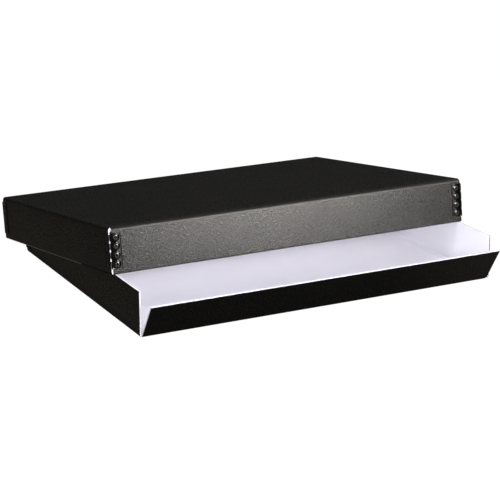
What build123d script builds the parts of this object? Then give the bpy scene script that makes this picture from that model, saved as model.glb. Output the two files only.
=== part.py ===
"""Drop-front archival box with a telescoping lid, folded from creased board and joined by metal stays.

Millimetres. The origin is the centre of the tray's underside, +Z is up, and the drop front faces -Y.
The box stands as it is left when it is opened: the front hangs outward on its crease, and the lid is
pushed back, its front edge on the tray's side walls and its rear edge on the table behind the tray.
"""

import os
from math import asin, cos, radians, sin, tan

from build123d import *

# Board: white right through, with a black cover paper on the outside, and soft creased folds
board = 1.5
cover = 0.25
cover_trim = 0.2
inner_fold_radius = 2.0
corner_web = 0.15

# Tray
tray_width = 368.0
tray_depth = 285.0
tray_height = 43.0

# Second crease pressed in the tray's floor beside each side wall
crease_inset = 5.0
crease_rule_radius = 0.8
crease_depth = 0.2

# Drop front, which swings on the crease at the floor's front edge
front_height = 40.0
front_end_gap = 1.1
crease_gap = 0.3
front_angle = 32.0

# Lid, which slips down over the tray
lid_height = 43.0
lid_setback = 54.6
lid_rest_gap = 0.2
stay_clearance = 0.3

# Metal stays, folded over the corners and clinched into the board by their prongs
steel = 0.4
stay_bend = 0.9
stay_leg = 11.0
stay_pitch = 8.2
stay_rows = 4
rib_radius = 0.3
rib_inset = 0.9
boss_radius = 3.0
boss_height = 0.6
boss_taper = 52.0
boss_inset = 5.7
punch_side = 1.3
punch_depth = 0.5
punch_taper = 30.0
prong_tip = 0.4
prong_taper = 22.0
prong_gap = 0.1
prong_cover = 0.5
eyelet_width = 1.3
eyelet_height = 3.0

# Where two folds meet, the cover paper stops short of the corner
relief_margin = 0.8
relief_height = 5.0

# How far a cutting shape runs past what it cuts
past = 5.0

fold_radius = inner_fold_radius + board
lid_gap = steel + boss_height + stay_clearance
prong_length = board - prong_cover
lid_width = tray_width + 2 * (lid_gap + board)
lid_depth = tray_depth + 2 * (lid_gap + board)
stay_length = stay_rows * stay_pitch
lid_tilt = asin((tray_height + lid_rest_gap) / (lid_depth - board))

tray_base = Plane.XY

lid_up = Vector(0, sin(lid_tilt), cos(lid_tilt))
lid_back = Vector(0, cos(lid_tilt), -sin(lid_tilt))
lid_rear_edge = Vector(0, tray_depth / 2 + lid_setback, 0)
lid_base = Plane(
    origin=lid_rear_edge + lid_up * lid_height - lid_back * (lid_depth / 2),
    x_dir=(1, 0, 0),
    z_dir=-lid_up,
)

hinge_y = -tray_depth / 2 + board / 2
hinge_z = board / 2
front_up = Vector(0, -sin(radians(front_angle)), cos(radians(front_angle)))
front_section = Plane(origin=(0, hinge_y, hinge_z), x_dir=front_up, z_dir=(1, 0, 0))
front_width = tray_width - 2 * (board + front_end_gap)
front_reach = front_height - board / 2


def folded_form(base, width, front, rear, height, radius, folds):
    """Block that stands on base, with its side folds and 1 or 2 of its end folds rounded."""
    across_plane = Plane(origin=base.origin, x_dir=base.x_dir, z_dir=-base.y_dir)
    along_plane = Plane(origin=base.origin, x_dir=base.y_dir, z_dir=base.x_dir)
    with BuildPart() as form:
        with BuildSketch(across_plane) as across:
            Rectangle(width, height, align=(Align.CENTER, Align.MIN))
            fillet(across.vertices().group_by(Axis.Y)[0], radius)
        extrude(amount=front + rear, both=True)
        with BuildSketch(along_plane) as along:
            with Locations(((rear - front) / 2, 0)):
                Rectangle(front + rear, height, align=(Align.CENTER, Align.MIN))
            low_corners = along.vertices().group_by(Axis.Y)[0].sort_by(Axis.X)
            fillet(low_corners[-folds:], radius)
        extrude(amount=width, both=True, mode=Mode.INTERSECT)
    return form.part


def corner_plane(base, width, depth, side, end):
    """Plane on the outer corner line of two walls, with its X and Y along the two walls."""
    corner = base.origin + base.x_dir * (side * width / 2) + base.y_dir * (end * depth / 2)
    along = base.x_dir * -side if side == end else base.y_dir * -end
    return Plane(origin=corner, x_dir=along, z_dir=base.z_dir)


def leg_planes(corner):
    """The outer faces of the two walls at a corner: X runs away from the corner, Y along it."""
    first = Plane(origin=corner.origin, x_dir=corner.x_dir, z_dir=-corner.y_dir)
    second = Plane(origin=corner.origin, x_dir=-corner.y_dir, z_dir=-corner.x_dir)
    return (first, 1), (second, -1)


def corner_notch(corner, height):
    """The square left open along a corner, where both walls show their raw ends."""
    open_side = board - corner_web
    with BuildPart() as notch:
        with BuildSketch(corner.offset(-past)):
            Rectangle(2 * open_side, 2 * open_side)
        extrude(amount=height + 2 * past)
    return notch.part


def cover_relief(corner):
    """The bit of cover paper that is missing at the end of two folds."""
    with BuildPart() as relief:
        with BuildSketch(corner.offset(-past)):
            Circle(board + relief_margin)
        extrude(amount=past + relief_height)
    return relief.part


def boss_spots(way, first_row):
    """Centres of one leg's bosses on the wall's outer face."""
    return [(way * boss_inset, first_row + stay_pitch * (row + 0.5)) for row in range(stay_rows)]


def prong_pockets(corner, start):
    """The holes that the stay's prongs have punched in both walls."""
    width = prong_tip + 2 * prong_length * tan(radians(prong_taper)) + 2 * prong_gap
    with BuildPart() as pockets:
        for face, way in leg_planes(corner):
            with BuildSketch(face):
                with Locations(*boss_spots(way, start)):
                    Rectangle(width, width)
            extrude(amount=-(prong_length + prong_gap))
    return pockets.part


def metal_stay(corner, start):
    """Steel strip folded over a corner: ribbed legs, bosses, prongs, and eyelets along the fold."""
    with BuildPart() as stay:
        with BuildSketch(corner.offset(start)) as section:
            with Locations((-steel, -steel)):
                Rectangle(stay_leg + steel, stay_leg + steel, align=(Align.MIN, Align.MIN))
            fillet(section.vertices().sort_by_distance((-steel, -steel))[0], stay_bend)
            Rectangle(stay_leg, stay_leg, align=(Align.MIN, Align.MIN), mode=Mode.SUBTRACT)
            with Locations((stay_leg - rib_inset, -steel), (-steel, stay_leg - rib_inset)):
                Circle(rib_radius)
        extrude(amount=stay_length)
        for face, way in leg_planes(corner):
            with BuildSketch(face.offset(steel)):
                with Locations(*boss_spots(way, start)):
                    Circle(boss_radius)
            extrude(amount=boss_height, taper=boss_taper)
            with BuildSketch(face.offset(steel + boss_height - punch_depth)):
                with Locations(*boss_spots(way, start)):
                    Rectangle(punch_side, punch_side, rotation=45)
            extrude(amount=punch_depth, taper=-punch_taper, mode=Mode.SUBTRACT)
            with BuildSketch(face.offset(-prong_length)):
                with Locations(*boss_spots(way, start)):
                    Rectangle(prong_tip, prong_tip)
            extrude(amount=prong_length, taper=-prong_taper)
        eyelet_plane = Plane(
            origin=corner.origin,
            x_dir=corner.x_dir - corner.y_dir,
            z_dir=-(corner.x_dir + corner.y_dir),
        )
        with BuildSketch(eyelet_plane):
            with Locations(*[(0, start + stay_pitch * row) for row in range(1, stay_rows)]):
                Ellipse(eyelet_width / 2, eyelet_height / 2)
        extrude(amount=stay_bend + steel, both=True, mode=Mode.SUBTRACT)
    return stay.part


os.makedirs("parts", exist_ok=True)


def keep(part, name):
    """Label a finished piece and write it."""
    part.label = name
    export_step(part, f"parts/{name}.step")


tray_corners = {
    "rear_left": corner_plane(tray_base, tray_width, tray_depth, -1, 1),
    "rear_right": corner_plane(tray_base, tray_width, tray_depth, 1, 1),
}
lid_corners = {
    "front_left": corner_plane(lid_base, lid_width, lid_depth, -1, 1),
    "front_right": corner_plane(lid_base, lid_width, lid_depth, 1, 1),
    "rear_left": corner_plane(lid_base, lid_width, lid_depth, -1, -1),
    "rear_right": corner_plane(lid_base, lid_width, lid_depth, 1, -1),
}
tray_stay_start = (tray_height - stay_length) / 2
lid_stay_start = (lid_height - stay_length) / 2

# Tray: floor, rear wall and two side walls of one sheet, open at the front
tray_front = tray_depth / 2
tray_rear = tray_depth / 2
tray_hollow = folded_form(
    tray_base.offset(board), tray_width - 2 * board, tray_front + past, tray_rear - board,
    tray_height, fold_radius - board, 1,
)
tray_core = folded_form(
    tray_base.offset(cover), tray_width - 2 * cover, tray_front, tray_rear - cover,
    tray_height - cover, fold_radius - cover, 1,
)
tray_core_through = folded_form(
    tray_base.offset(cover), tray_width - 2 * cover, tray_front + past, tray_rear - cover,
    tray_height, fold_radius - cover, 1,
)
tray_outside = folded_form(
    tray_base, tray_width, tray_front, tray_rear, tray_height - cover_trim, fold_radius, 1
)

crease_start = Plane(
    origin=(0, tray_rear - fold_radius, board), x_dir=(1, 0, 0), z_dir=(0, -1, 0)
)
crease_x = tray_width / 2 - board - crease_inset
crease_rise = crease_rule_radius - crease_depth

with BuildPart() as front_bay:
    with BuildSketch(tray_base.offset(-past)):
        with Locations((0, -tray_front + board + crease_gap)):
            Rectangle(tray_width - 2 * board, 2 * past, align=(Align.CENTER, Align.MAX))
    extrude(amount=tray_height + 2 * past)

with BuildPart() as tray_bottom_cover:
    with BuildSketch(tray_base):
        with Locations((0, tray_rear - fold_radius)):
            Rectangle(
                tray_width - 2 * fold_radius,
                tray_depth - fold_radius - board - crease_gap,
                align=(Align.CENTER, Align.MAX),
            )
    extrude(amount=cover)

with BuildPart() as tray_board:
    add(tray_core)
    add(tray_hollow, mode=Mode.SUBTRACT)
    add(front_bay.part, mode=Mode.SUBTRACT)
    for corner in tray_corners.values():
        add(corner_notch(corner, tray_height), mode=Mode.SUBTRACT)
        add(prong_pockets(corner, tray_stay_start), mode=Mode.SUBTRACT)
    with BuildSketch(crease_start):
        with Locations((-crease_x, crease_rise), (crease_x, crease_rise)):
            Circle(crease_rule_radius)
    extrude(amount=tray_depth, mode=Mode.SUBTRACT)

with BuildPart() as tray_wall_cover:
    add(tray_outside)
    add(tray_core_through, mode=Mode.SUBTRACT)
    add(tray_bottom_cover.part, mode=Mode.SUBTRACT)
    add(front_bay.part, mode=Mode.SUBTRACT)
    for corner in tray_corners.values():
        add(corner_notch(corner, tray_height), mode=Mode.SUBTRACT)
        add(cover_relief(corner), mode=Mode.SUBTRACT)
        add(prong_pockets(corner, tray_stay_start), mode=Mode.SUBTRACT)

keep(tray_board.part, "tray_board")
keep(tray_wall_cover.part, "tray_wall_cover")
keep(tray_bottom_cover.part, "tray_bottom_cover")

# Drop front: a flat panel whose lower end is rounded about the crease
with BuildPart() as front_cover:
    with BuildSketch(front_section):
        with Locations((0, board / 2 - cover)):
            Rectangle(front_reach, cover, align=(Align.MIN, Align.MIN))
        with BuildSketch(mode=Mode.PRIVATE) as crease_ring:
            Circle(board / 2)
            Circle(board / 2 - cover, mode=Mode.SUBTRACT)
            Rectangle(board, board, align=(Align.MAX, Align.MIN), mode=Mode.INTERSECT)
        add(crease_ring.sketch)
    extrude(amount=front_width / 2, both=True)

with BuildPart() as drop_front:
    with BuildSketch(front_section):
        Circle(board / 2)
        with Locations((front_reach / 2, 0)):
            Rectangle(front_reach, board)
    extrude(amount=front_width / 2, both=True)
    add(front_cover.part, mode=Mode.SUBTRACT)

keep(drop_front.part, "drop_front")
keep(front_cover.part, "front_cover")

# Lid: top and four walls of one sheet, upside down on a plane that leans back with it
lid_half = lid_depth / 2
lid_hollow = folded_form(
    lid_base.offset(board), lid_width - 2 * board, lid_half - board, lid_half - board,
    lid_height, fold_radius - board, 2,
)
lid_core = folded_form(
    lid_base.offset(cover), lid_width - 2 * cover, lid_half - cover, lid_half - cover,
    lid_height - cover, fold_radius - cover, 2,
)
lid_core_through = folded_form(
    lid_base.offset(cover), lid_width - 2 * cover, lid_half - cover, lid_half - cover,
    lid_height, fold_radius - cover, 2,
)
lid_outside = folded_form(
    lid_base, lid_width, lid_half, lid_half, lid_height - cover_trim, fold_radius, 2
)

with BuildPart() as lid_board:
    add(lid_core)
    add(lid_hollow, mode=Mode.SUBTRACT)
    for corner in lid_corners.values():
        add(corner_notch(corner, lid_height), mode=Mode.SUBTRACT)
        add(prong_pockets(corner, lid_stay_start), mode=Mode.SUBTRACT)

with BuildPart() as lid_cover:
    add(lid_outside)
    add(lid_core_through, mode=Mode.SUBTRACT)
    for corner in lid_corners.values():
        add(corner_notch(corner, lid_height), mode=Mode.SUBTRACT)
        add(cover_relief(corner), mode=Mode.SUBTRACT)
        add(prong_pockets(corner, lid_stay_start), mode=Mode.SUBTRACT)

keep(lid_board.part, "lid_board")
keep(lid_cover.part, "lid_cover")

# Stays: one at each corner where two walls meet
for place, corner in tray_corners.items():
    keep(metal_stay(corner, tray_stay_start), f"tray_stay_{place}")
for place, corner in lid_corners.items():
    keep(metal_stay(corner, lid_stay_start), f"lid_stay_{place}")
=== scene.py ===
"""Drop-front archival box: folded white board, black cover paper and metal stays."""

from math import asin, cos, radians, sin

import bmesh
import bpy
from mathutils import Matrix, Quaternion, Vector


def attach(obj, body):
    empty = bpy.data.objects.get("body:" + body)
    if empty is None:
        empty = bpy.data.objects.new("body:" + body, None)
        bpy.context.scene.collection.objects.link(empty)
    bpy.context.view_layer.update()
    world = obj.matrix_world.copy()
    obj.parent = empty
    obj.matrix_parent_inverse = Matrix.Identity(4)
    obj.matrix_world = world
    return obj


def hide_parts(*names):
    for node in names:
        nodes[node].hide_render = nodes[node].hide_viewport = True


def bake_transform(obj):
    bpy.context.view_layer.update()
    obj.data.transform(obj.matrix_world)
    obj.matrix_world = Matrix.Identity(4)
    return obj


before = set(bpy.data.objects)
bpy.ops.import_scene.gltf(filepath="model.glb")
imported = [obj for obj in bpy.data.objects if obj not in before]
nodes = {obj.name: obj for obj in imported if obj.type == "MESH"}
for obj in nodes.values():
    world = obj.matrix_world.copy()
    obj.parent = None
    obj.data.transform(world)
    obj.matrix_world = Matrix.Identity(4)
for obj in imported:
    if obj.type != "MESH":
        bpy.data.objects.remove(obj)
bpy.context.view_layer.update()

mm = 0.001
same_place = 0.001 * mm

# Sizes of the box, as the part's source has them. The board's thickness takes in its cover paper
board = 1.5 * mm
cover = 0.25 * mm
tray_width = 368 * mm
tray_depth = 285 * mm
tray_height = 43 * mm
crease_inset = 5 * mm
front_height = 40 * mm
front_end_gap = 1.1 * mm
crease_gap = 0.3 * mm
front_angle = radians(32)
lid_height = 43 * mm
lid_setback = 54.6 * mm
lid_rest_gap = 0.2 * mm
lid_gap = 1.3 * mm
lid_width = tray_width + 2 * (lid_gap + board)
lid_depth = tray_depth + 2 * (lid_gap + board)
lid_tilt = asin((tray_height + lid_rest_gap) / (lid_depth - board))

# Sizes of the metal stays, as the part's source has them
steel = 0.4 * mm
stay_pitch = 8.2 * mm
stay_rows = 4
boss_radius = 3.0 * mm
boss_inset = 5.7 * mm
eyelet_width = 1.3 * mm
eyelet_height = 3.0 * mm
stay_length = stay_pitch * stay_rows
stay_start = (tray_height - stay_length) / 2

# How the lid lies: its own up and back, the middle of its rear rim, and how far it reaches
lid_up = Vector((0, sin(lid_tilt), cos(lid_tilt)))
lid_back = Vector((0, cos(lid_tilt), -sin(lid_tilt)))
lid_rear = Vector((0, tray_depth / 2 + lid_setback, 0))
lid_rim = lid_rear.dot(lid_up)
lid_top = lid_rim + lid_height
lid_end = lid_rear.dot(lid_back)
lid_front = lid_depth - lid_end

# Colours, and pairs of tones that a pattern mixes
black_tones = (0.0018, 0.0017, 0.0016), (0.0034, 0.0031, 0.0028)
# Painted light: a brown fringe of light along the lid's left rim
rim_light_brown = (0.120, 0.086, 0.074)
paper_turned_over = (0.003, 0.003, 0.003)
white_tones = (0.885, 0.87, 0.925), (0.915, 0.90, 0.955)
# Painted shade: the cut board edges are the white board made darker, against the light they catch
shaded_cut_tones = (0.51, 0.50, 0.535), (0.54, 0.53, 0.565)
shaded_cut_edge = (0.55, 0.54, 0.575)
# Painted shade along the crease in the tray's floor and along each side wall's foot
crease_shade = (0.72, 0.705, 0.755)
# Stay enamel: the margin's tone, and the pressed zone's darker tone, which is painted shade
enamel_and_shade_tones = (0.0040, 0.0038, 0.0035), (0.0004, 0.0004, 0.0004)
# Painted light: the rear stays' enamel, made lighter
rear_lit_tones = (0.0085, 0.0078, 0.0070), (0.0065, 0.0060, 0.0052)
# Grey of thin rings on the bosses, and of a painted highlight along each stay's lower end
ring_and_highlight_grey = (0.050, 0.049, 0.047)
bare_steel = (0.55, 0.56, 0.57)

# Building materials from nodes


def joined(tree, kind, *sources, **settings):
    """A node with its settings, and with its first inputs linked or set in order."""
    node = tree.nodes.new(kind)
    for name, value in settings.items():
        setattr(node, name, value)
    for socket, source in zip(node.inputs, sources):
        if isinstance(source, bpy.types.NodeSocket):
            tree.links.new(source, socket)
        else:
            socket.default_value = source
    return node


def maths(tree, operation, first, second):
    """The first and the second put together by a maths operation."""
    return joined(tree, "ShaderNodeMath", first, second, operation=operation).outputs[0]


def weighed(tree, first, share, second):
    """This share of the first, and the rest of the second."""
    part = maths(tree, "MULTIPLY", first, share)
    rest = maths(tree, "MULTIPLY", second, 1 - share)
    return maths(tree, "ADD", part, rest)


def ramp(tree, source, low, high, low_value=0, high_value=1):
    """The source carried from low..high to low_value..high_value, smoothly, and no further."""
    return joined(
        tree, "ShaderNodeMapRange", source, low, high, low_value, high_value,
        interpolation_type="SMOOTHSTEP",
    ).outputs[0]


def noise(tree, place, scale, detail, roughness=0.5, distortion=0):
    """Noise with scale cells to the metre."""
    node = joined(tree, "ShaderNodeTexNoise", place, noise_dimensions="3D")
    node.inputs["Scale"].default_value = scale
    node.inputs["Detail"].default_value = detail
    node.inputs["Roughness"].default_value = roughness
    node.inputs["Distortion"].default_value = distortion
    return node.outputs["Fac"]


def mixed(tree, share, first, second):
    """The first colour where share is 0, and the second where it is 1."""
    node = tree.nodes.new("ShaderNodeMix")
    node.data_type = "RGBA"
    tree.links.new(share, node.inputs[0])
    for socket, colour in ((node.inputs[6], first), (node.inputs[7], second)):
        if isinstance(colour, bpy.types.NodeSocket):
            tree.links.new(colour, socket)
        else:
            socket.default_value = (*colour, 1)
    return node.outputs[2]


def bumped(tree, shader, height, strength, distance):
    """Give the shader the relief of height, which is distance deep."""
    bump = tree.nodes.new("ShaderNodeBump")
    bump.inputs["Strength"].default_value = strength
    bump.inputs["Distance"].default_value = distance
    tree.links.new(height, bump.inputs["Height"])
    tree.links.new(bump.outputs["Normal"], shader.inputs["Normal"])


def beyond(tree, place, direction, limit):
    """1 where the place lies further along direction than limit, and 0 before it."""
    reach = joined(
        tree, "ShaderNodeVectorMath", place, tuple(direction), operation="DOT_PRODUCT"
    ).outputs["Value"]
    return maths(tree, "GREATER_THAN", reach, limit)


def within(tree, place, limits):
    """1 where the place lies beyond every one of these directions and limits."""
    inside = beyond(tree, place, *limits[0])
    for direction, limit in limits[1:]:
        inside = maths(tree, "MULTIPLY", inside, beyond(tree, place, direction, limit))
    return inside


def effect(name):
    """An empty node group that takes a Place and gives a Height and a Tone."""
    group = bpy.data.node_groups.new(name, "ShaderNodeTree")
    group.interface.new_socket(name="Place", in_out="INPUT", socket_type="NodeSocketVector")
    for label in ("Height", "Tone"):
        group.interface.new_socket(name=label, in_out="OUTPUT", socket_type="NodeSocketFloat")
    place = group.nodes.new("NodeGroupInput").outputs["Place"]
    return group, place, group.nodes.new("NodeGroupOutput").inputs


def paper_grain():
    """Pressed grain of the cover paper: millimetre pebbles, with fine fibres over them."""
    group, place, made = effect("paper grain")
    pebbles = noise(group, place, scale=850, detail=2, roughness=0.6)
    fibres = noise(group, place, scale=2000, detail=3, roughness=0.55, distortion=1)
    drift = noise(group, place, scale=30, detail=2)
    group.links.new(weighed(group, pebbles, 0.75, fibres), made["Height"])
    group.links.new(weighed(group, pebbles, 0.85, drift), made["Tone"])
    return group


def board_fibres():
    """Soft fibres of uncoated white board, finer than a pencil line."""
    group, place, made = effect("board fibres")
    fine = noise(group, place, scale=1500, detail=4)
    wide = noise(group, place, scale=22, detail=2)
    group.links.new(fine, made["Height"])
    group.links.new(weighed(group, fine, 0.4, wide), made["Tone"])
    return group


grain_effect = paper_grain()
fibre_effect = board_fibres()


def finish_of(name):
    """A material with nodes, its tree and Principled shader, and the place on the object."""
    material = bpy.data.materials.new(name)
    material.use_nodes = True
    tree = material.node_tree
    place = tree.nodes.new("ShaderNodeTexCoord").outputs["Object"]
    return material, tree, tree.nodes["Principled BSDF"], place


def brought_in(tree, group, place):
    """The Height and the Tone of a shared effect in this material."""
    node = joined(tree, "ShaderNodeGroup", place, node_tree=group)
    return node.outputs["Height"], node.outputs["Tone"]


# Black cover paper

paper_roughness = 0.30
grain_roughness = 0.09
grain_depth = 0.32 * mm


def black_paper(name, dull=(), light_fringe=()):
    """Black cover paper with a pressed grain and a low sheen.

    dull lists the zones that are rubbed dull, each as the direction and limit it lies
    beyond and how much rougher it is. light_fringe gives the directions and limits where
    a brown fringe of light is painted on the paper.
    """
    material, tree, shader, place = finish_of(name)
    height, tone = brought_in(tree, grain_effect, place)
    colour = mixed(tree, ramp(tree, tone, 0.38, 0.62), *black_tones)
    # Painted light: the brown fringe of light over the paper's own colour
    if light_fringe:
        colour = mixed(tree, within(tree, place, light_fringe), colour, rim_light_brown)
    tree.links.new(colour, shader.inputs["Base Color"])
    rough = ramp(
        tree, tone, 0.36, 0.64, paper_roughness + grain_roughness, paper_roughness - grain_roughness
    )
    for direction, limit, rougher in dull:
        inside = beyond(tree, place, direction, limit)
        rough = maths(tree, "ADD", rough, maths(tree, "MULTIPLY", inside, rougher))
    tree.links.new(rough, shader.inputs["Roughness"])
    shader.inputs["IOR"].default_value = 1.45
    shader.inputs["Specular IOR Level"].default_value = 0.5
    bumped(tree, shader, height, strength=1, distance=grain_depth)
    return material


# Uncoated white board

fibre_depth = 0.08 * mm


def white_board(name, zones=(), tones=white_tones):
    """White board, a little cool, with soft fibres.

    zones lists the places of another colour, each as that colour and the directions
    and limits that all hold there. A later zone lies over an earlier one.
    """
    material, tree, shader, place = finish_of(name)
    height, tone = brought_in(tree, fibre_effect, place)
    colour = mixed(tree, ramp(tree, tone, 0.35, 0.65), *tones)
    for there, *limits in zones:
        colour = mixed(tree, within(tree, place, limits), colour, there)
    tree.links.new(colour, shader.inputs["Base Color"])
    shader.inputs["Roughness"].default_value = 0.85
    shader.inputs["Specular IOR Level"].default_value = 0.2
    bumped(tree, shader, height, strength=0.25, distance=fibre_depth)
    return material


left = (-1, 0, 0)
right = (1, 0, 0)
forward = (0, -1, 0)
above = (0, 0, 1)
below = (0, 0, -1)

paper_black = black_paper("black cover paper")
board_white = white_board("white board")
# Cut edges: the same white board, painted darker as shade
shaded_board_cut = white_board("cut board edge painted darker", tones=shaded_cut_tones)

# The tray's board: its cut front edges, painted darker as shade; painted shade along the crease in
# the floor beside each side wall and along that wall's foot; and the outer edge of the side walls,
# where the cover paper shows
wall_face = tray_width / 2 - board
floor_shade_lines = (
    (crease_inset - 0.1 * mm, crease_inset + 0.6 * mm),
    (0.15 * mm, 0.85 * mm),
)
tray_zones = [(shaded_cut_edge, (forward, tray_depth / 2 - 0.05 * mm))]
for side, other, paper_edge in ((left, right, 0.25 * mm), (right, left, 0.6 * mm)):
    for near, far in floor_shade_lines:
        tray_zones.append((
            crease_shade,
            (side, wall_face - far), (other, near - wall_face),
            (above, 0.7 * board), (below, -board - 0.1 * mm),
        ))
    tray_zones.append((paper_turned_over, (side, tray_width / 2 - cover - paper_edge)))
tray_white = white_board("tray board", tray_zones)

# The lid's cover paper is dull above the rim and along the front top fold, and has a
# brown fringe of light painted along the left rim
lid_down = -lid_up
front_fold = lid_up - lid_back
lid_paper = black_paper(
    "lid cover paper",
    dull=(
        (lid_down, -(lid_rim + 1.3 * mm), 0.5),
        (front_fold, lid_top + lid_front - 3.6 * mm, 0.16),
    ),
    light_fringe=(
        (lid_down, -(lid_rim + 0.7 * mm)),
        (left, lid_width / 2 - 0.5 * mm),
        (lid_back, -20 * mm),
    ),
)

# Seen from outside, the lid's board shows white only at its front left corner. Elsewhere the
# cover paper is turned over it
lid_skin = board + 0.1 * mm
under_paper = cover + 0.3 * mm
corner_slope = 0.3
front_skin = (-lid_back, lid_front - lid_skin)
below_stay = (lid_down, -(lid_top - stay_start - stay_length))
above_stay = (lid_up, lid_top - stay_start)
turned_over = (
    # The rim, the right and rear walls, and the front wall's right end
    ((lid_down, -(lid_rim + 0.4 * mm)),),
    ((right, lid_width / 2 - lid_skin),),
    ((right, lid_width / 2 - 3.5 * mm), front_skin),
    ((lid_back, lid_end - lid_skin),),
    # Below the front left stay, on the front and on the left, up to a thin white line at the corner
    (below_stay, (-lid_back, lid_front - under_paper), (right, 0.4 * mm - lid_width / 2)),
    (below_stay, (left, lid_width / 2 - under_paper), (lid_back, 0.8 * mm - lid_front)),
    # Above that stay, where the white narrows downwards
    (
        above_stay, front_skin,
        (
            Vector(right) - lid_up * corner_slope,
            2.6 * mm - lid_width / 2 - corner_slope * lid_top,
        ),
    ),
)
lid_white = white_board("lid board", [(paper_turned_over, *limits) for limits in turned_over])

# Enamel of the stays

speck_depth = 0.04 * mm


def stored(tree, name):
    """The number that the mesh stores under this name."""
    return joined(tree, "ShaderNodeAttribute", attribute_name=name).outputs["Fac"]


def stay_enamel(name, tones):
    """Black stoved enamel on steel.

    It is dull on the flat margins, and glossy in the pressed zone, whose darker tone is painted
    shade.
    It is grey in thin rings on the bosses, has a painted highlight along its lower end, and is
    chipped to the bare steel along the fold. The stay's mesh stores where each of these is.
    """
    material, tree, shader, place = finish_of(name)
    specks = noise(tree, place, scale=2600, detail=3)
    polish_and_shade = ramp(tree, stored(tree, "polish_and_shade"), 0.3, 0.7)
    bare = maths(tree, "MULTIPLY", stored(tree, "fold_wear"), specks)
    bare = ramp(tree, bare, 0.30, 0.56, 0, 0.8)
    # Painted shade: the pressed zone takes the darker tone
    paint = mixed(tree, polish_and_shade, *tones)
    # Grey rings, and a painted highlight along the lower end
    paint = mixed(tree, stored(tree, "rings_and_highlight"), paint, ring_and_highlight_grey)
    tree.links.new(mixed(tree, bare, paint, bare_steel), shader.inputs["Base Color"])
    gloss = maths(tree, "SUBTRACT", polish_and_shade, maths(tree, "MULTIPLY", stored(tree, "pit"), 0.2))
    tree.links.new(ramp(tree, gloss, 0, 1, 0.38, 0.10), shader.inputs["Roughness"])
    tree.links.new(maths(tree, "MULTIPLY", bare, 0.9), shader.inputs["Metallic"])
    bumped(tree, shader, specks, strength=0.15, distance=speck_depth)
    return material


enamel = stay_enamel("black stay enamel", enamel_and_shade_tones)
# Painted light: the rear stays get a lighter copy of the enamel
rear_lit_enamel = stay_enamel("rear stay enamel painted lighter", rear_lit_tones)

for node, finish in (
    ("tray_board", tray_white),
    ("lid_board", lid_white),
    ("tray_wall_cover", paper_black),
    ("tray_bottom_cover", paper_black),
    ("lid_cover", lid_paper),
):
    for slot in nodes[node].material_slots:
        slot.material = finish

# Modelling by hand, in code


def pick(piece):
    """Select this piece alone."""
    if bpy.context.object and bpy.context.object.mode != "OBJECT":
        bpy.ops.object.mode_set(mode="OBJECT")
    bpy.ops.object.select_all(action="DESELECT")
    piece.select_set(True)
    bpy.context.view_layer.objects.active = piece


def start_editing(piece):
    """Open the piece in edit mode, with nothing but vertices to select."""
    pick(piece)
    bpy.ops.object.mode_set(mode="EDIT")
    bpy.ops.mesh.select_mode(type="VERT")


def stop_editing():
    bpy.ops.object.mode_set(mode="OBJECT")


def select_where(piece, test):
    """Select the vertices that pass test, with the edges and faces between them."""
    mesh = bmesh.from_edit_mesh(piece.data)
    bpy.ops.mesh.select_all(action="DESELECT")
    for vert in mesh.verts:
        vert.select = test(vert.co)
    mesh.select_flush_mode()
    bmesh.update_edit_mesh(piece.data)


def move_where(piece, rule, chosen_only=False):
    """Move every vertex, or only the selected ones, to where rule puts it."""
    mesh = bmesh.from_edit_mesh(piece.data)
    for vert in mesh.verts:
        if vert.select or not chosen_only:
            vert.co = rule(vert.co.copy())
    bmesh.update_edit_mesh(piece.data)


def extrude(step=(0, 0, 0)):
    """Extrude what is selected, and carry it by step."""
    bpy.ops.mesh.extrude_region_move(TRANSFORM_OT_translate={"value": step})


def face_outwards(merged_within=0):
    """Turn all faces outwards, once vertices that lie this close to each other are merged."""
    bpy.ops.mesh.select_all(action="SELECT")
    if merged_within:
        bpy.ops.mesh.remove_doubles(threshold=merged_within)
    bpy.ops.mesh.normals_make_consistent(inside=False)


def apply_modifier(piece, name, kind, **settings):
    """Add a modifier to the piece, and apply it."""
    pick(piece)
    modifier = piece.modifiers.new(name, kind)
    for key, value in settings.items():
        setattr(modifier, key, value)
    bpy.ops.object.modifier_apply(modifier=name)


def repeat_rows(piece, step, **settings):
    """Repeat the piece once for each row of bosses."""
    apply_modifier(
        piece, "rows", "ARRAY", count=stay_rows, use_relative_offset=False,
        use_constant_offset=True, constant_offset_displace=step, **settings,
    )


def settle(piece):
    """Put the piece's place into its mesh, so that its object sits at the origin."""
    pick(piece)
    bpy.ops.object.transform_apply(location=True, rotation=True, scale=True)


def twin(piece, name):
    """A copy of the piece under another name, with its own mesh."""
    copy = piece.copy()
    copy.data = piece.data.copy()
    copy.name = name
    bpy.context.scene.collection.objects.link(copy)
    return copy


def shade_smooth(piece, angle):
    """Shade the piece smooth, but for edges sharper than angle."""
    pick(piece)
    bpy.ops.object.shade_smooth_by_angle(angle=radians(angle))


def eased(low, high, value):
    """0 below low and 1 above high, with a soft step between."""
    share = min(max((value - low) / (high - low), 0), 1)
    return share * share * (3 - 2 * share)


# Metal stay: a leg is embossed flat, from one cell with its boss, and then folded over the corner.
# The bare numbers in the three profiles are millimetres

# Each ring's radius, and its rise from the ring before it: the boss's flank, its rim, and the
# punched star that goes down through it
boss_profile = (
    (3.85, 0.0), (3.55, 0.0), (3.15, 0.0), (2.95, 0.16), (2.7, 0.26), (2.4, 0.16), (2.1, 0.02),
    (2.0, -0.40), (1.7, 0.0), (1.4, 0.0), (1.2, -0.24), (1.0, -0.5),
)
# Each row's distance from the corner line, and its rise: the rib along the outer edge
rib_profile = (
    (10.0, 0.0), (10.25, 0.16), (10.45, 0.22), (10.65, 0.16), (10.85, -0.12), (11.0, -0.40),
)
# The rows towards the fold, which itself starts at the last of them
fold_profile = (1.2, 0.85, 0.5)

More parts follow.
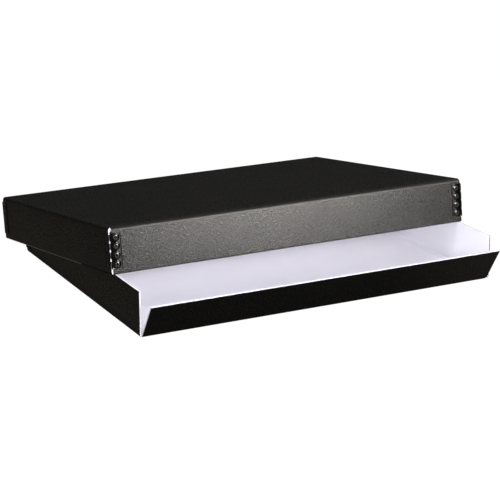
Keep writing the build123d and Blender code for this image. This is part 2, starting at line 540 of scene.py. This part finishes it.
stay_thickness = 0.3 * mm
stay_fold = fold_profile[-1] * mm
scallop_radius = 4.0 * mm
cell_half = stay_pitch / 2
cell_middle = Vector((boss_inset, cell_half, 0))
star_reach = 0.28
star_edge = (1.45 * mm, 1.75 * mm)

# The pressed zone: how deep it lies, and where it fades out round the bosses, on the margin's
# side, at the stay's ends and at the fold
hollow_depth = 0.34 * mm
hollow_scallop = (3.6 * mm, 3.95 * mm)
hollow_side = (5.0 * mm, 6.4 * mm)
hollow_end = (0, 0.7 * mm)
hollow_fold = (0.9 * mm, 1.7 * mm)
boss_floor = 1.2 * mm
margin_start = 9.9 * mm


def boss_offset(u, v):
    """From the nearest boss's middle to u across the leg and v along it, and the distance."""
    row = min(max(int(v / stay_pitch), 0), stay_rows - 1)
    du = u - boss_inset
    dv = v - (row + 0.5) * stay_pitch
    return du, dv, (du * du + dv * dv) ** 0.5


def hollow_share(u, v):
    """1 in the pressed zone between the fold and the bosses' scallops, and 0 outside it."""
    round_boss = 1 - eased(*hollow_scallop, boss_offset(u, v)[2])
    towards_fold = 1 - eased(*hollow_side, u)
    from_ends = eased(*hollow_end, min(v, stay_length - v))
    return max(round_boss, towards_fold) * from_ends * eased(*hollow_fold, u)


def starred(co):
    """Pull the rings of the punched hole out into a four-pointed star."""
    du, dv, reach = boss_offset(co.x, co.y)
    if reach < same_place or reach > star_edge[1]:
        return co
    four_fold = (du ** 4 + dv ** 4 - 6 * du * du * dv * dv) / reach ** 4
    factor = 1 + star_reach * (1 - eased(*star_edge, reach)) * four_fold
    return Vector((boss_inset + du * factor, cell_half + dv * factor, co.z))


def squared(co):
    """Push a place out to the edge of its square cell."""
    away = co.xy - cell_middle.xy
    away *= cell_half / max(abs(away.x), abs(away.y))
    return Vector((*(cell_middle.xy + away), co.z))


def pressed(co):
    """Press the glossy zone down, and with it the bosses, but not their middles."""
    reach = boss_offset(co.x, co.y)[2]
    if reach <= boss_radius:
        co.z -= hollow_depth * eased(boss_floor, boss_radius, reach)
    elif co.x < margin_start:
        co.z -= hollow_depth * hollow_share(co.x, co.y)
    return co


def boss_cell():
    """One square cell with its boss, flat: X away from the fold, Y along it, Z out of the wall."""
    bpy.ops.mesh.primitive_circle_add(
        vertices=40, radius=scallop_radius, fill_type="NOTHING",
        location=(boss_inset, cell_half, steel),
    )
    cell = bpy.context.object
    settle(cell)
    start_editing(cell)
    bpy.ops.mesh.select_all(action="SELECT")
    ring = scallop_radius
    for radius, rise in boss_profile:
        extrude((0, 0, rise * mm))
        factor = radius * mm / ring
        bpy.ops.transform.resize(value=(factor, factor, 1), center_override=cell_middle)
        ring = radius * mm
    bpy.ops.mesh.edge_face_add()
    bpy.ops.mesh.inset(thickness=0.3 * mm)
    bpy.ops.mesh.merge(type="CENTER")
    move_where(cell, starred)
    select_where(
        cell, lambda co: abs((co.xy - cell_middle.xy).length - scallop_radius) < same_place
    )
    extrude()
    bpy.ops.transform.resize(value=(1.02, 1.02, 1), center_override=cell_middle)
    extrude()
    move_where(cell, squared, chosen_only=True)
    stop_editing()
    return cell


def widen(leg, edge, place, rise=0):
    """Extrude the leg's edge to another place across it, and give back where it is then."""
    select_where(leg, lambda co: abs(co.x - edge) < same_place)
    extrude((place - edge, 0, rise))
    return place


def stay_leg():
    """One leg, flat, with its row of bosses, its ribbed margin and its pressed zone."""
    leg = boss_cell()
    apply_modifier(leg, "finer", "SUBSURF", subdivision_type="SIMPLE", levels=1, render_levels=1)
    repeat_rows(leg, (0, stay_pitch, 0), use_merge_vertices=True, merge_threshold=same_place)
    start_editing(leg)
    edge = boss_inset + cell_half
    for place, rise in rib_profile:
        edge = widen(leg, edge, place * mm, rise * mm)
    edge = boss_inset - cell_half
    for place in fold_profile:
        edge = widen(leg, edge, place * mm)
    move_where(leg, pressed)
    face_outwards()
    stop_editing()
    return leg


def stay_form():
    """The whole stay, its legs along +X and +Y from the corner line and its length up Z."""
    stay = stay_leg()
    stood_up = Matrix(((1, 0, 0, 0), (0, 0, -1, 0), (0, 1, 0, 0), (0, 0, 0, 1)))
    x_and_y_changed = Matrix(((0, 1, 0, 0), (1, 0, 0, 0), (0, 0, 1, 0), (0, 0, 0, 1)))
    stay.data.transform(stood_up)
    second_leg = twin(stay, "second_leg")
    second_leg.data.transform(x_and_y_changed)
    second_leg.data.flip_normals()
    start_editing(stay)
    select_where(stay, lambda co: abs(co.x - stay_fold) < same_place)
    bpy.ops.mesh.spin(
        steps=8, angle=radians(90), center=(stay_fold, stay_fold, 0), axis=(0, 0, 1)
    )
    stop_editing()
    pick(stay)
    second_leg.select_set(True)
    bpy.ops.object.join()
    start_editing(stay)
    face_outwards(merged_within=2 * same_place)
    stop_editing()
    return stay


# What the stay's mesh stores for its enamel

gloss_and_shade_side = 5.9 * mm
gloss_and_shade_scallop = 3.97 * mm
pit_edge = (1.6 * mm, 1.95 * mm)
foot_ring = 2.95 * mm
foot_width = 0.14 * mm
star_ring = 1.8 * mm
star_width = (0.1 * mm, 0.35 * mm)
end_highlight = (0.1 * mm, 9 * mm)
wear_width = (0.12 * mm, 0.5 * mm)


def polish_and_shade_of(co):
    """1 from the fold to the scallops, glossy and painted darker as shade, and 0 on the flat margin
    beyond.
    """
    u = max(co.x, co.y)
    return 1.0 if u < gloss_and_shade_side or boss_offset(u, co.z)[2] < gloss_and_shade_scallop else 0.0


def pit_of(co):
    """1 inside the punched stars, which stay dull."""
    return 1 - eased(*pit_edge, boss_offset(max(co.x, co.y), co.z)[2])


def rings_and_highlight_of(co):
    """Grey: thin rings at a boss's foot and its star's rim, and a painted highlight on the stay's
    lower end.
    """
    u = max(co.x, co.y)
    reach = boss_offset(u, co.z)[2]
    foot = 0.35 * (1 - eased(0, foot_width, abs(reach - foot_ring)))
    star = 1 - eased(*star_width, abs(reach - star_ring))
    # A painted highlight along the stay's lower end
    on_end = co.z > stay_length - end_highlight[0] and u < end_highlight[1]
    return max(foot, star, float(on_end))


def fold_wear_of(co):
    """How bare the steel is along the fold."""
    on_fold = co.x < 0
    return on_fold * (1 - eased(*wear_width, abs(co.x - co.y)))


def store(mesh, name, rule):
    """Store a number on every vertex, for the material to read."""
    attribute = mesh.attributes.new(name, "FLOAT", "POINT")
    attribute.data.foreach_set("value", [rule(vert.co) for vert in mesh.vertices])


# The eyelets, punched through the fold where each row of bosses starts

eyelet_depth = 2.4 * mm
eyelet_proud = 0.03 * mm


def eyelet_cutter():
    """The tool that cuts the eyelets, and leaves cut board in them, painted darker as shade."""
    bpy.ops.mesh.primitive_cylinder_add(
        vertices=20, radius=0.5, depth=1, rotation=(0, radians(90), 0)
    )
    cutter = bpy.context.object
    settle(cutter)
    cutter.data.transform(Matrix.Diagonal((eyelet_depth, eyelet_width, eyelet_height, 1)))
    cutter.data.transform(Matrix.Translation((eyelet_proud - eyelet_depth / 2, 0, 0)))
    cutter.data.transform(Matrix.Rotation(radians(45), 4, "Z"))
    cutter.data.materials.append(shaded_board_cut)
    repeat_rows(cutter, (0, 0, stay_pitch))
    return cutter


def finished_stay():
    """The stay with its thickness, its eyelets and what its enamel reads."""
    stay = stay_form()
    for name, rule in (
        ("polish_and_shade", polish_and_shade_of), ("pit", pit_of), ("rings_and_highlight", rings_and_highlight_of), ("fold_wear", fold_wear_of),
    ):
        store(stay.data, name, rule)
    apply_modifier(stay, "steel", "SOLIDIFY", thickness=stay_thickness, offset=-1)
    stay.data.materials.append(enamel)
    stay.data.materials.append(shaded_board_cut)
    cutter = eyelet_cutter()
    apply_modifier(
        stay, "eyelets", "BOOLEAN", operation="DIFFERENCE", solver="EXACT", object=cutter,
        material_mode="TRANSFER",
    )
    bpy.data.objects.remove(cutter)
    shade_smooth(stay, angle=50)
    return stay


def tray_corner(side):
    """Where a stay's corner line, legs and length go at one of the tray's rear corners."""
    corner = Vector((side * tray_width / 2, tray_depth / 2, 0))
    return corner, Vector((-side, 0, 0)), Vector((0, -1, 0)), Vector((0, 0, 1))


def lid_corner(side, end):
    """The same at one of the lid's corners. end is 1 at its front and -1 at its rear."""
    middle = lid_rear + lid_up * lid_height - lid_back * (lid_depth / 2)
    corner = middle + Vector((side * lid_width / 2, 0, 0)) - lid_back * (end * lid_depth / 2)
    return corner, Vector((-side, 0, 0)), lid_back * end, lid_down


def fitted_stay(name, paint, corner, across, along, length, body):
    """A stay folded over one corner: its legs along across and along, its length along length."""
    piece = twin(stay_model, name)
    piece.data.materials[0] = paint
    if across.cross(along).dot(length) < 0:
        across, along = along, across
    origin = corner + length * stay_start
    piece.data.transform(Matrix((
        (across.x, along.x, length.x, origin.x),
        (across.y, along.y, length.y, origin.y),
        (across.z, along.z, length.z, origin.z),
        (0, 0, 0, 1),
    )))
    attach(piece, body)
    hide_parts(name)


stay_model = finished_stay()
for side, hand in ((-1, "left"), (1, "right")):
    fitted_stay(f"tray_stay_rear_{hand}", rear_lit_enamel, *tray_corner(side), "tray")
    fitted_stay(f"lid_stay_front_{hand}", enamel, *lid_corner(side, 1), "lid")
    fitted_stay(f"lid_stay_rear_{hand}", rear_lit_enamel, *lid_corner(side, -1), "lid")
bpy.data.objects.remove(stay_model)

# Drop front: the floor's board runs round a soft fold and up the panel, the cover paper outside it

front_width = tray_width - 2 * (board + front_end_gap)
front_reach = front_height - board / 2
front_up = Vector((0, -sin(front_angle), cos(front_angle)))
front_in = Vector((0, cos(front_angle), sin(front_angle)))
front_turn = radians(90) - front_angle
hinge = Vector((0, -tray_depth / 2 + board / 2, board / 2))

# The fold starts where the floor's board ends, and its inner side is an arc of this radius
fold_start = -tray_depth / 2 + board + crease_gap
fold_inner = 1.1 * mm
fold_z = board + fold_inner
fold_y = hinge.y + (board / 2 + fold_inner - (fold_z - hinge.z) * front_in.z) / front_in.y
fold_centre = Vector((0, fold_y, fold_z))
fold_end = (fold_centre - hinge).dot(front_up)

# Rows up the panel from the hinge, close together where its right lower corner is cut round
corner_radius = 3 * mm
panel_rows = [
    row * mm for row in (1.4, 1.8, 2.2, 2.6, 3.0, 3.6, 5.5, 8, 14, 22, 30, 36, 38.5)
] + [front_reach]


def corner_cut(co):
    """Bring the panel's right end in along the arc of its lower corner."""
    below_arc = corner_radius - max((co - hinge).dot(front_up), 0)
    if co.x > 0 and below_arc > 0:
        co.x -= corner_radius - (corner_radius ** 2 - below_arc ** 2) ** 0.5
    return co


def is_cut(face):
    """Whether a face of the sheet is at one of its ends or on its top edge."""
    at_end = abs(face.normal.x) > 0.9
    on_top = face.normal.dot(front_up) > 0.9 and face.center.z > front_height / 2
    return at_end or on_top


def front_sheet(name, low, high, finish):
    """One layer of the drop front, between low and high above the tray's underside."""
    bpy.ops.mesh.primitive_plane_add(
        size=1, location=(0, fold_start, (low + high) / 2), rotation=(radians(90), 0, 0)
    )
    piece = bpy.context.object
    piece.name = name
    piece.scale = (front_width, high - low, 1)
    settle(piece)
    start_editing(piece)
    bpy.ops.mesh.select_all(action="SELECT")
    extrude((0, fold_y - fold_start, 0))
    bpy.ops.mesh.spin(steps=10, angle=front_turn, center=fold_centre, axis=(1, 0, 0))
    reach = fold_end
    for row in panel_rows:
        extrude(front_up * (row - reach))
        reach = row
    face_outwards(merged_within=same_place)
    move_where(piece, corner_cut)
    stop_editing()
    piece.data.materials.append(finish)
    return piece


front_board = front_sheet("drop_front_board", cover, board, board_white)
front_paper = front_sheet("drop_front_paper", 0, cover, paper_black)
# The cut ends and the top edge get the cut board, painted darker as shade
front_board.data.materials.append(shaded_board_cut)
for face in front_board.data.polygons:
    face.material_index = int(is_cut(face))
for piece, node in ((front_board, "drop_front"), (front_paper, "front_cover")):
    shade_smooth(piece, angle=30)
    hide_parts(node)
    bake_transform(piece)

# Studio: a pale floor and world that the camera sees white, and three soft lights


def chosen(tree, share, first, second):
    """The first shader where share is 0, and the second where it is 1."""
    return joined(tree, "ShaderNodeMixShader", share, first, second).outputs[0]


# Where the box's gloss sees the floor lit, in metres from the middle of the tray
lit_right = (0.06, 0.20)
lit_left = (0.184, 0.189)
fading_behind = (0.30, 0.70, 1, 0.2)
fading_far_left = (-0.29, -0.22, 0.62, 1)


def studio_floor():
    """The floor: plain grey to soft light, white to the camera, and dark to gloss but where lit."""
    bpy.ops.mesh.primitive_plane_add(size=12, location=(0, 0, -0.3 * mm))
    floor = bpy.context.object
    floor.name = "studio_floor"
    material, tree, shader, place = finish_of("studio floor")
    shader.inputs["Base Color"].default_value = (0.35, 0.35, 0.35, 1)
    shader.inputs["Roughness"].default_value = 0.9
    shader.inputs["Specular IOR Level"].default_value = 0
    axes = joined(tree, "ShaderNodeSeparateXYZ", place)
    across = axes.outputs["X"]
    leftwards = maths(tree, "MULTIPLY", across, -1)
    lit = maths(
        tree, "MAXIMUM", ramp(tree, across, *lit_right), ramp(tree, leftwards, *lit_left)
    )
    for fading in (
        ramp(tree, axes.outputs["Y"], *fading_behind),
        ramp(tree, across, *fading_far_left),
    ):
        lit = maths(tree, "MULTIPLY", lit, fading)
    in_gloss = joined(
        tree, "ShaderNodeEmission",
        mixed(tree, lit, (0.008, 0.008, 0.008), (0.076, 0.066, 0.054)), 1,
    )
    in_camera = joined(tree, "ShaderNodeEmission", (1, 1, 1, 1), 1.15)
    ray = tree.nodes.new("ShaderNodeLightPath")
    shown = maths(tree, "MULTIPLY", ray.outputs["Is Camera Ray"], 0.85)
    surface = chosen(tree, shown, shader.outputs[0], in_camera.outputs[0])
    surface = chosen(tree, ray.outputs["Is Glossy Ray"], surface, in_gloss.outputs[0])
    tree.links.new(surface, tree.nodes["Material Output"].inputs["Surface"])
    floor.data.materials.append(material)


def studio_world():
    """The world: soft light all round, seen white, and in gloss dark low down and grey above."""
    world = bpy.data.worlds.new("studio")
    world.use_nodes = True
    bpy.context.scene.world = world
    tree = world.node_tree
    plain = tree.nodes["Background"]
    plain.inputs["Color"].default_value = (0.96, 0.97, 1.0, 1)
    plain.inputs["Strength"].default_value = 0.90
    in_camera = joined(tree, "ShaderNodeBackground", (1, 1, 1, 1), 1.02)
    direction = tree.nodes.new("ShaderNodeTexCoord").outputs["Generated"]
    height = joined(tree, "ShaderNodeSeparateXYZ", direction).outputs["Z"]
    in_gloss = joined(
        tree, "ShaderNodeBackground",
        mixed(tree, ramp(tree, height, 0.22, 0.54), (0.010, 0.0097, 0.0097), (0.32, 0.313, 0.306)),
        1,
    )
    ray = tree.nodes.new("ShaderNodeLightPath")
    surface = chosen(tree, ray.outputs["Is Glossy Ray"], plain.outputs[0], in_gloss.outputs[0])
    surface = chosen(tree, ray.outputs["Is Camera Ray"], surface, in_camera.outputs[0])
    tree.links.new(surface, tree.nodes["World Output"].inputs["Surface"])


def softbox(name, place, aim, width, height, power, tint=(1, 1, 1), roll=0):
    """A rectangular light at place, turned to aim and rolled about that line, unseen itself."""
    light = bpy.data.lights.new(name, "AREA")
    light.shape = "RECTANGLE"
    light.size = width
    light.size_y = height
    light.energy = power
    light.color = tint
    lamp = bpy.data.objects.new(name, light)
    bpy.context.scene.collection.objects.link(lamp)
    lamp.location = place
    turned = (Vector(place) - Vector(aim)).to_track_quat("Z", "Y")
    lamp.rotation_euler = (turned @ Quaternion((0, 0, 1), roll)).to_euler()
    lamp.visible_camera = False
    return lamp


studio_floor()
studio_world()

# The front softbox makes the sheen on the lid's front, and the two others only light
gloss_card = softbox(
    "front softbox", place=(0.220, -0.62, 0.272), aim=(0, -0.09, 0.065), width=0.18, height=0.26,
    power=9.7, tint=(1.0, 0.955, 0.915), roll=radians(28),
)
gloss_card.visible_diffuse = False
for fill in (
    softbox(
        "low fill", place=(0.02, -1.35, 0.43), aim=(0, -0.05, 0), width=1.25, height=0.25,
        power=31,
    ),
    softbox(
        "upper left key", place=(-0.6, -0.5, 1.1), aim=(0.15, -0.08, 0.03), width=0.6, height=0.6,
        power=5.4,
    ),
):
    fill.visible_glossy = False

# Camera at the photograph's view: its direction and distance from the point it looks at

view_azimuth = radians(-27.06)
view_elevation = radians(17.41)
view_distance = 1.7585
view_target = Vector((-0.0023, 0, 0.0154))
towards_camera = Vector((
    sin(view_azimuth) * cos(view_elevation),
    -cos(view_azimuth) * cos(view_elevation),
    sin(view_elevation),
))

camera_data = bpy.data.cameras.new("camera")
camera_data.lens = 128.17
camera_data.sensor_width = 36
camera_data.clip_start = 0.05
camera_data.clip_end = 50
camera = bpy.data.objects.new("camera", camera_data)
bpy.context.scene.collection.objects.link(camera)
camera.location = view_target + towards_camera * view_distance
camera.rotation_euler = towards_camera.to_track_quat("Z", "Y").to_euler()
bpy.context.scene.camera = camera
bpy.context.scene.view_settings.view_transform = "Standard"
